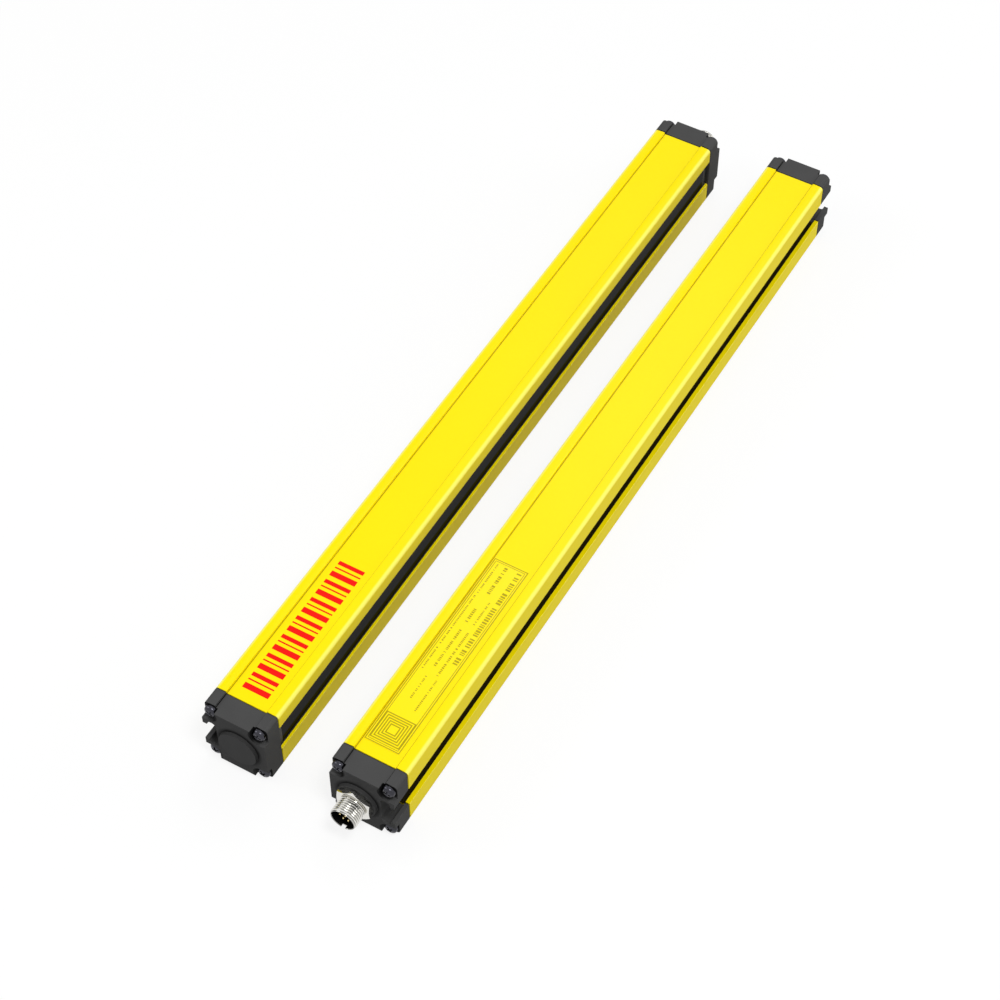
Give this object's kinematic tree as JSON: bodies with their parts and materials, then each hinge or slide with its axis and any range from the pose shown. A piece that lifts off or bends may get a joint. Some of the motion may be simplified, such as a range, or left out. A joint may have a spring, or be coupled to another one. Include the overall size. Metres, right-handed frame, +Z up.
{
  "type": "safety light curtain",
  "caption": "Sender and receiver bars of a machine-guarding light curtain: slotted yellow extrusions with dark windows, black end caps and round threaded connectors.",
  "frame": {"origin": "on the surface that the bars lie on, under the middle of the pair", "axes": "+Y along the bars, towards the sender bar's connector; +X from the sender bar to the receiver bar; +Z up"},
  "size_m": [0.088, 0.4186, 0.034],
  "materials": {
    "yellow_coat": "satin powder coat on extruded aluminium",
    "window_acrylic": "polished, infrared-pass",
    "seal_rubber": "matte",
    "cap_nylon": "fine-grained moulding",
    "gasket_rubber": "matte",
    "black_screw": "black zinc",
    "nickel_shell": "nickel-plated brass",
    "nut_steel": "plated",
    "insert_black": "moulded",
    "gold_contact": "gold-plated",
    "board_green": "solder resist",
    "diode_resin": "cast resin",
    "chip_black": "moulded epoxy",
    "clear_acrylic": "polished",
    "carrier_black": "moulded",
    "label_film": "printed polyester film"
  },
  "bodies": {
    "root": {"emitter_housing": "yellow_coat", "emitter_front_window": "window_acrylic", "emitter_window_seals": "seal_rubber", "emitter_window_end_seals": "seal_rubber", "emitter_plain_cap": "cap_nylon", "emitter_cap_gaskets": "gasket_rubber", "emitter_connector_cap": "cap_nylon", "emitter_cap_screws": "black_screw", "emitter_connector_shell": "nickel_shell", "emitter_connector_seal": "seal_rubber", "emitter_connector_lock_nut": "nut_steel", "emitter_connector_insert": "insert_black", "emitter_connector_pins": "gold_contact", "emitter_connector_board": "board_green", "emitter_circuit_board": "board_green", "emitter_light_sources": "diode_resin", "emitter_control_chips": "chip_black", "emitter_board_link": "insert_black", "emitter_status_light_pipes": "clear_acrylic", "emitter_optics_carrier": "carrier_black", "emitter_lens_strip": "clear_acrylic", "receiver_housing": "yellow_coat", "receiver_front_window": "window_acrylic", "receiver_window_seals": "seal_rubber", "receiver_window_end_seals": "seal_rubber", "receiver_plain_cap": "cap_nylon", "receiver_cap_gaskets": "gasket_rubber", "receiver_connector_cap": "cap_nylon", "receiver_cap_screws": "black_screw", "receiver_connector_shell": "nickel_shell", "receiver_connector_seal": "seal_rubber", "receiver_connector_lock_nut": "nut_steel", "receiver_connector_insert": "insert_black", "receiver_connector_pins": "gold_contact", "receiver_connector_board": "board_green", "receiver_circuit_board": "board_green", "receiver_photodiodes": "diode_resin", "receiver_control_chips": "chip_black", "receiver_board_link": "insert_black", "receiver_status_light_pipes": "clear_acrylic", "receiver_optics_carrier": "carrier_black", "receiver_lens_strip": "clear_acrylic", "receiver_label": "label_film"}
  },
  "joints": []
}
